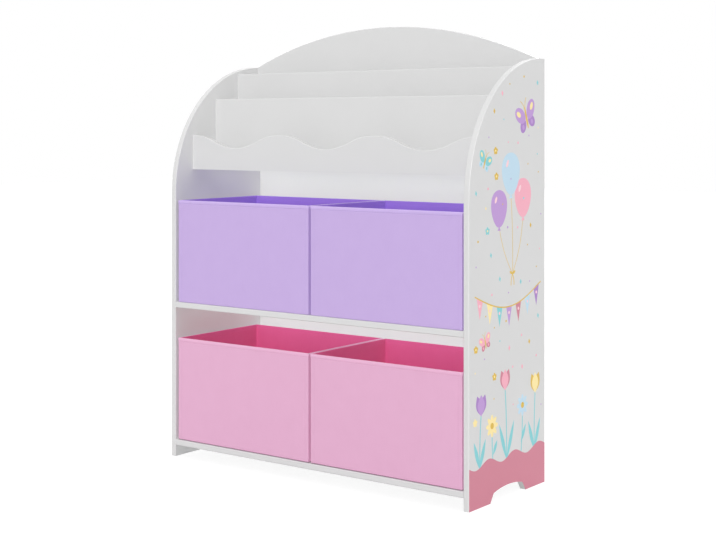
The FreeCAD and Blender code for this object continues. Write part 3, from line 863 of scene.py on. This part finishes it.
def bunting():
    """A sagging string with pointed flags."""
    start, end = Vector((-122 * MM, 396 * MM)), Vector((126 * MM, 404 * MM))
    sag = -34 * MM
    flag_length = 38 * MM
    dot_drop = 12 * MM
    dot_size = 6 * MM
    string_width = 2.4 * MM
    flag_inks = ("pink", "butter", "aqua", "lilac", "rose", "sky", "violet")
    steps_to_a_flag = 5
    string = swung(start, end, sag, steps=steps_to_a_flag * len(flag_inks))
    patches = []
    for number, ink in enumerate(flag_inks):
        left = string[steps_to_a_flag * number + 1]
        right = string[steps_to_a_flag * number + steps_to_a_flag - 1]
        middle = (left + right) / 2
        patches.append(Patch([left, middle - Vector((0, flag_length)), right], ink))
        patches.append(Patch(oval(middle - Vector((0, dot_drop)), dot_size, dot_size), "blush"))
    patches.append(Patch(ribbon(string, string_width), "gold"))
    return patches


def tulip(foot, height, lean, petal_ink, side_ink):
    """A stem with two leaves and a cup of three petals."""
    foot = Vector(foot)
    top = foot + Vector((lean, height))
    cup = 34 * MM
    stem_width = 3.2 * MM
    leaf_width = 11 * MM
    patches = [Patch(ribbon(swung(foot, top, lean / 3), stem_width), "aqua")]
    for side in (-1, 1):
        tip = foot + Vector((side * 0.2 * height, 0.52 * height))
        patches.append(Patch(leaf(foot, tip, leaf_width), "aqua"))
        petal_tip = top + Vector((side * 0.42 * cup, cup))
        patches.append(Patch(leaf(top - Vector((0, cup / 8)), petal_tip, 0.62 * cup), side_ink))
    front_tip = top + Vector((0, 1.02 * cup))
    patches.append(Patch(leaf(top - Vector((0, cup / 6)), front_tip, 0.74 * cup), petal_ink))
    return patches


def daisy(foot, height, lean, petal_ink):
    """A stem with a leaf and a round flower of eight petals."""
    foot = Vector(foot)
    centre = foot + Vector((lean, height))
    petal = 19 * MM
    petal_count = 8
    stem_width = 3 * MM
    leaf_width = 9 * MM
    leaf_foot = foot + Vector((0, height / 4))
    leaf_tip = foot + Vector((0.2 * height, 0.6 * height))
    patches = [Patch(ribbon(swung(foot, centre, -lean / 3), stem_width), "aqua"),
               Patch(leaf(leaf_foot, leaf_tip, leaf_width), "aqua")]
    for number in range(petal_count):
        angle = FULL_TURN * number / petal_count
        middle = centre + Vector((math.cos(angle), math.sin(angle))) * petal * 0.62
        patches.append(Patch(oval(middle, petal, 0.5 * petal, angle), petal_ink))
    patches.append(Patch(oval(centre, 0.62 * petal, 0.62 * petal), "gold"))
    return patches


def flowers():
    ground = BAND_HEIGHT - BAND_WAVE
    return (tulip((-104 * MM, ground), height=104 * MM, lean=5 * MM, petal_ink="lilac", side_ink="violet")
            + daisy((-56 * MM, ground), height=74 * MM, lean=-4 * MM, petal_ink="butter")
            + tulip((-6 * MM, ground), height=140 * MM, lean=-6 * MM, petal_ink="pink", side_ink="rose")
            + daisy((48 * MM, ground), height=96 * MM, lean=6 * MM, petal_ink="sky")
            + tulip((100 * MM, ground), height=118 * MM, lean=4 * MM, petal_ink="butter", side_ink="gold"))


def confetti(taken, outline):
    """Scattered dots, diamonds and small blossoms, clear of the other motifs and of the panel's edge."""
    draw = random.Random(CONFETTI_SEED)
    dots = []
    patches = []
    low = Vector((min(point.x for point in outline), BAND_HEIGHT + 2 * BAND_WAVE))
    high = Vector((max(point.x for point in outline), max(point.y for point in outline)))
    for _ in range(CONFETTI_TRIES):
        spot = Vector((draw.uniform(low.x, high.x), draw.uniform(low.y, high.y)))
        size = draw.choice(CONFETTI_SIZES)
        ink = draw.choice(CONFETTI_INKS)
        near_edge = edge_distance(spot, outline) < CONFETTI_CLEAR or not inside(spot, outline)
        near_motif = any((spot - point).length < CONFETTI_CLEAR for point in taken)
        near_dot = any((spot - other).length < CONFETTI_APART for other in dots)
        if near_edge or near_motif or near_dot:
            continue
        dots.append(spot)
        patches += speck(spot, size, ink)
    return patches


def speck(spot, size, ink):
    """A dot if small, a diamond if middling, and otherwise a blossom of five round petals."""
    if size < LARGEST_DOT:
        return [Patch(oval(spot, size, size, steps=12), ink)]
    if size < LARGEST_DIAMOND:
        points = [(0, -0.7 * size), (0.45 * size, 0), (0, 0.7 * size), (-0.45 * size, 0)]
        return [Patch(placed(points, spot, lean=0.2), ink)]
    petal_count = 5
    patches = []
    for number in range(petal_count):
        angle = FULL_TURN * number / petal_count + QUARTER_TURN
        middle = spot + Vector((math.cos(angle), math.sin(angle))) * 0.42 * size
        patches.append(Patch(oval(middle, 0.56 * size, 0.56 * size, steps=14), ink))
    patches.append(Patch(oval(spot, 0.42 * size, 0.42 * size, steps=12), "butter"))
    return patches


def edge_distance(spot, outline):
    """How far a spot lies from the nearest edge of an outline."""
    gaps = []
    for start, end in zip(outline, outline[1:] + outline[:1]):
        run = end - start
        share = (spot - start).dot(run) / run.length_squared
        gaps.append((spot - start - run * min(1.0, max(0.0, share))).length)
    return min(gaps)


def inside(spot, outline):
    """Whether a spot lies within an outline."""
    crossings = 0
    for start, end in zip(outline, outline[1:] + outline[:1]):
        if (start.y > spot.y) != (end.y > spot.y):
            reach = start.x + (spot.y - start.y) * (end.x - start.x) / (end.y - start.y)
            crossings += reach > spot.x
    return crossings % 2 == 1


def face_outline(node, side):
    """The outline of a side panel's outer face, in order round it, from its solid."""
    mesh = frame["nodes"][node].data
    face = max(vertex.co.x * side for vertex in mesh.vertices)
    digits = 6
    edges = {}
    for polygon in mesh.polygons:
        corners = [mesh.vertices[index].co for index in polygon.vertices]
        if all(abs(corner.x * side - face) < INK_SINK for corner in corners):
            places = [(round(corner.y, digits), round(corner.z, digits)) for corner in corners]
            for start, end in zip(places, places[1:] + places[:1]):
                edges.setdefault(start, set()).add(end)
    return chain(edges)


def chain(edges):
    """Rim edges in order: those whose reverse no other face has."""
    rim = {}
    for start, ends in edges.items():
        for end in ends:
            if start not in edges.get(end, ()):
                rim[start] = end
    first = min(rim)
    outline = [first]
    while rim[outline[-1]] != first:
        outline.append(rim[outline[-1]])
    return [Vector(place) for place in outline]


def band_top(along):
    return BAND_HEIGHT + BAND_WAVE * math.sin(FULL_TURN * along / BAND_WAVE_LENGTH)


def base_band(outline):
    """A coloured band over the feet, with a regular wave along its top."""
    low = [point.y < band_top(point.x) for point in outline]
    start = next(index for index in range(len(outline)) if low[index] and not low[index - 1])
    turned = outline[start:] + outline[:start]
    feet = [point for point in turned if point.y < band_top(point.x)]
    count = round(abs(feet[-1].x - feet[0].x) / BAND_STEP)
    wave = []
    for step in range(count + 1):
        along = feet[-1].x + (feet[0].x - feet[-1].x) * step / count
        wave.append(Vector((along, band_top(along))))
    return [Patch(feet + wave, "rose")]


def layers_of(patches):
    """The layer of each patch: one above the highest earlier patch that its own box reaches."""
    boxes = []
    layers = []
    for patch in patches:
        across = [point.x for point in patch.outline]
        up = [point.y for point in patch.outline]
        box = (min(across), max(across), min(up), max(up))
        under = [layer for other, layer in zip(boxes, layers)
                 if box[0] < other[1] and other[0] < box[1] and box[2] < other[3] and other[2] < box[3]]
        boxes.append(box)
        layers.append(max(under, default=-1) + 1)
    return layers


def ink_film(bm, outline, low, high, side, ink_index):
    """A patch of ink as a thin closed film on the panel's face."""
    rings = [[bm.verts.new((depth * side, point.x, point.y)) for point in outline] for depth in (low, high)]
    film = join_rings(bm, rings)[0] + [bm.faces.new(ring) for ring in rings]
    for face in film:
        face.material_index = ink_index
    bmesh.ops.recalc_face_normals(bm, faces=film)


def print_motif(name, patches, layers, side, panel_face, inks):
    ink_names = sorted({patch.ink for patch in patches})

    def fill(bm):
        for patch, layer in zip(patches, layers):
            film_top = panel_face + INK_LIFT + INK_STEP * layer
            ink_film(bm, patch.outline, panel_face - INK_SINK, film_top, side, ink_names.index(patch.ink))

    mesh_piece(name, "case", fill, [inks[ink] for ink in ink_names], smooth=False)


def print_sides():
    inks = {name: printing_ink(name, colour) for name, colour in INKS.items()}
    for side, side_name in ((1, "right"), (-1, "left")):
        node = f"{side_name}_side_panel"
        outline = face_outline(node, side)
        panel_face = max(abs(corner.x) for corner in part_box(node))
        motifs = {"flowers": flowers(), "band": base_band(outline), "bunting": bunting(),
                  "balloons": balloon_bunch(), "butterflies": butterflies()}
        taken = [point for patches in motifs.values() for patch in patches for point in patch.outline]
        motifs["confetti"] = confetti(taken, outline)
        layers = iter(layers_of([patch for patches in motifs.values() for patch in patches]))
        for motif, patches in motifs.items():
            own_layers = [next(layers) for _ in patches]
            print_motif(f"{side_name}_print_{motif}", patches, own_layers, side, panel_face, inks)


# Camera, floor and light
IMAGE_WIDTH, IMAGE_HEIGHT = 716, 540
FOCAL_PIXELS = 1408.5
EYE_COLUMN = 357.5
EYE_LEVEL_ROW = 126.8
EYE_PLACE = (1.7708, -2.3498, 0.7126)
VIEW_TURN = 36.73
SENSOR_WIDTH = 36.0
FLOOR_HALF = 12.0
FLOOR_HEIGHT = -0.4 * MM
WHITE = (1.0, 1.0, 1.0, 1.0)
SEEN_FLOOR_GREY = (0.36, 0.36, 0.36, 1.0)
SEEN_FLOOR_GLOW = 0.73
PLAIN_FLOOR_GREY = (0.52, 0.52, 0.52, 1.0)
SEEN_WORLD = 1.0
WORLD_LIGHT = 0.5
STRIP_WIDTH_SHARE = 0.98
STRIP_DEPTH = 20 * MM
STRIP_DROP = 8 * MM
STRIP_SETBACK = 10 * MM
STRIP_SPREAD = 42.0
STRIP_TILT = 7.0


def make_camera():
    """A level camera whose lens is shifted down, so that upright edges stay upright."""
    data = bpy.data.cameras.new("camera")
    data.sensor_width = SENSOR_WIDTH
    data.lens = SENSOR_WIDTH * FOCAL_PIXELS / IMAGE_WIDTH
    data.shift_x = (IMAGE_WIDTH / 2 - EYE_COLUMN) / IMAGE_WIDTH
    data.shift_y = (EYE_LEVEL_ROW - IMAGE_HEIGHT / 2) / IMAGE_WIDTH
    camera = bpy.data.objects.new("camera", data)
    camera.location = EYE_PLACE
    camera.rotation_euler = (QUARTER_TURN, 0, math.radians(VIEW_TURN))
    bpy.context.scene.collection.objects.link(camera)
    bpy.context.scene.camera = camera


def seen_directly(tree):
    """1 for rays from the camera and for mirrored or refracted ones, otherwise 0."""
    rays = add_node(tree, "ShaderNodeLightPath").outputs
    reflected = calc(tree, "MAXIMUM", rays["Is Glossy Ray"], rays["Is Transmission Ray"])
    return calc(tree, "MAXIMUM", rays["Is Camera Ray"], reflected)


def make_floor():
    """A floor that is seen white with a soft shadow of the object, and lights the object like a grey one."""
    mesh = bpy.data.meshes.new("floor")
    corners = []
    for across, along in ((-1, -1), (1, -1), (1, 1), (-1, 1)):
        corners.append((across * FLOOR_HALF, along * FLOOR_HALF, FLOOR_HEIGHT))
    mesh.from_pydata(corners, [], [(0, 1, 2, 3)])
    material = bpy.data.materials.new("white_floor")
    material.use_nodes = True
    tree = material.node_tree
    tree.nodes.clear()
    lit = add_node(tree, "ShaderNodeBsdfDiffuse", Color=SEEN_FLOOR_GREY)
    glow = add_node(tree, "ShaderNodeEmission", Color=WHITE, Strength=SEEN_FLOOR_GLOW)
    seen = add_node(tree, "ShaderNodeAddShader")
    tree.links.new(lit.outputs["BSDF"], seen.inputs[0])
    tree.links.new(glow.outputs["Emission"], seen.inputs[1])
    plain = add_node(tree, "ShaderNodeBsdfDiffuse", Color=PLAIN_FLOOR_GREY)
    mixed = add_node(tree, "ShaderNodeMixShader", Fac=seen_directly(tree))
    tree.links.new(plain.outputs["BSDF"], mixed.inputs[1])
    tree.links.new(seen.outputs["Shader"], mixed.inputs[2])
    add_node(tree, "ShaderNodeOutputMaterial", Surface=mixed.outputs["Shader"])
    mesh.materials.append(material)
    floor = bpy.data.objects.new("floor", mesh)
    bpy.context.scene.collection.objects.link(floor)


def make_world():
    """White where it is seen, and a softer even light on the object."""
    world = bpy.data.worlds.new("studio")
    world.use_nodes = True
    tree = world.node_tree
    tree.nodes.clear()
    light = add_node(tree, "ShaderNodeBackground", Color=WHITE, Strength=WORLD_LIGHT)
    white = add_node(tree, "ShaderNodeBackground", Color=WHITE, Strength=SEEN_WORLD)
    mixed = add_node(tree, "ShaderNodeMixShader", Fac=seen_directly(tree))
    tree.links.new(light.outputs["Background"], mixed.inputs[1])
    tree.links.new(white.outputs["Background"], mixed.inputs[2])
    add_node(tree, "ShaderNodeOutputWorld", Surface=mixed.outputs["Shader"])
    bpy.context.scene.world = world


def make_sun(name, turn, height, strength, softness, shadow=True):
    """A lamp from that turn about the object and that height above the horizon, in degrees.

    Without shadow it is an even fill that also reaches into the bays.
    """
    data = bpy.data.lights.new(name, "SUN")
    data.energy = strength
    data.angle = math.radians(softness)
    data.use_shadow = shadow
    sun = bpy.data.objects.new(name, data)
    sun.rotation_euler = (QUARTER_TURN - math.radians(height), 0, math.radians(turn))
    bpy.context.scene.collection.objects.link(sun)


def make_bay_light(name, ceiling, power, tint):
    """A narrow hidden lamp under the front of a bay's ceiling that lights the panel behind the bins.

    Its tint evens out the colour that the bins throw on that panel.
    """
    low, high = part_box(ceiling)
    data = bpy.data.lights.new(name, "AREA")
    data.shape = "RECTANGLE"
    data.size = STRIP_WIDTH_SHARE * (high.x - low.x)
    data.size_y = STRIP_DEPTH
    data.spread = math.radians(STRIP_SPREAD)
    data.energy = power
    data.color = tint
    lamp = bpy.data.objects.new(name, data)
    lamp.location = (0, low.y + STRIP_SETBACK, low.z - STRIP_DROP)
    lamp.rotation_euler = (QUARTER_TURN - math.radians(STRIP_TILT), 0, 0)
    lamp.visible_camera = False
    lamp.visible_glossy = False
    bpy.context.scene.collection.objects.link(lamp)


def light_stage():
    make_floor()
    make_world()
    make_sun("front_fill", turn=20.0, height=32.0, strength=1.78, softness=8.0, shadow=False)
    make_sun("side_fill", turn=60.0, height=13.0, strength=0.72, softness=8.0, shadow=False)
    make_sun("right_light", turn=112.0, height=15.0, strength=0.43, softness=30.0)
    make_sun("left_light", turn=-100.0, height=20.0, strength=0.8, softness=40.0)
    make_sun("rear_light", turn=190.0, height=35.0, strength=1.2, softness=40.0)
    make_bay_light("upper_bay_light", "front_rack_floor", power=0.075, tint=(0.9, 1.0, 0.7))
    make_bay_light("lower_bay_light", "middle_shelf", power=0.095, tint=(0.65, 1.0, 0.95))
    bpy.context.scene.view_settings.view_transform = "Standard"


dress_solids()
make_bins()
print_sides()
make_camera()
light_stage()
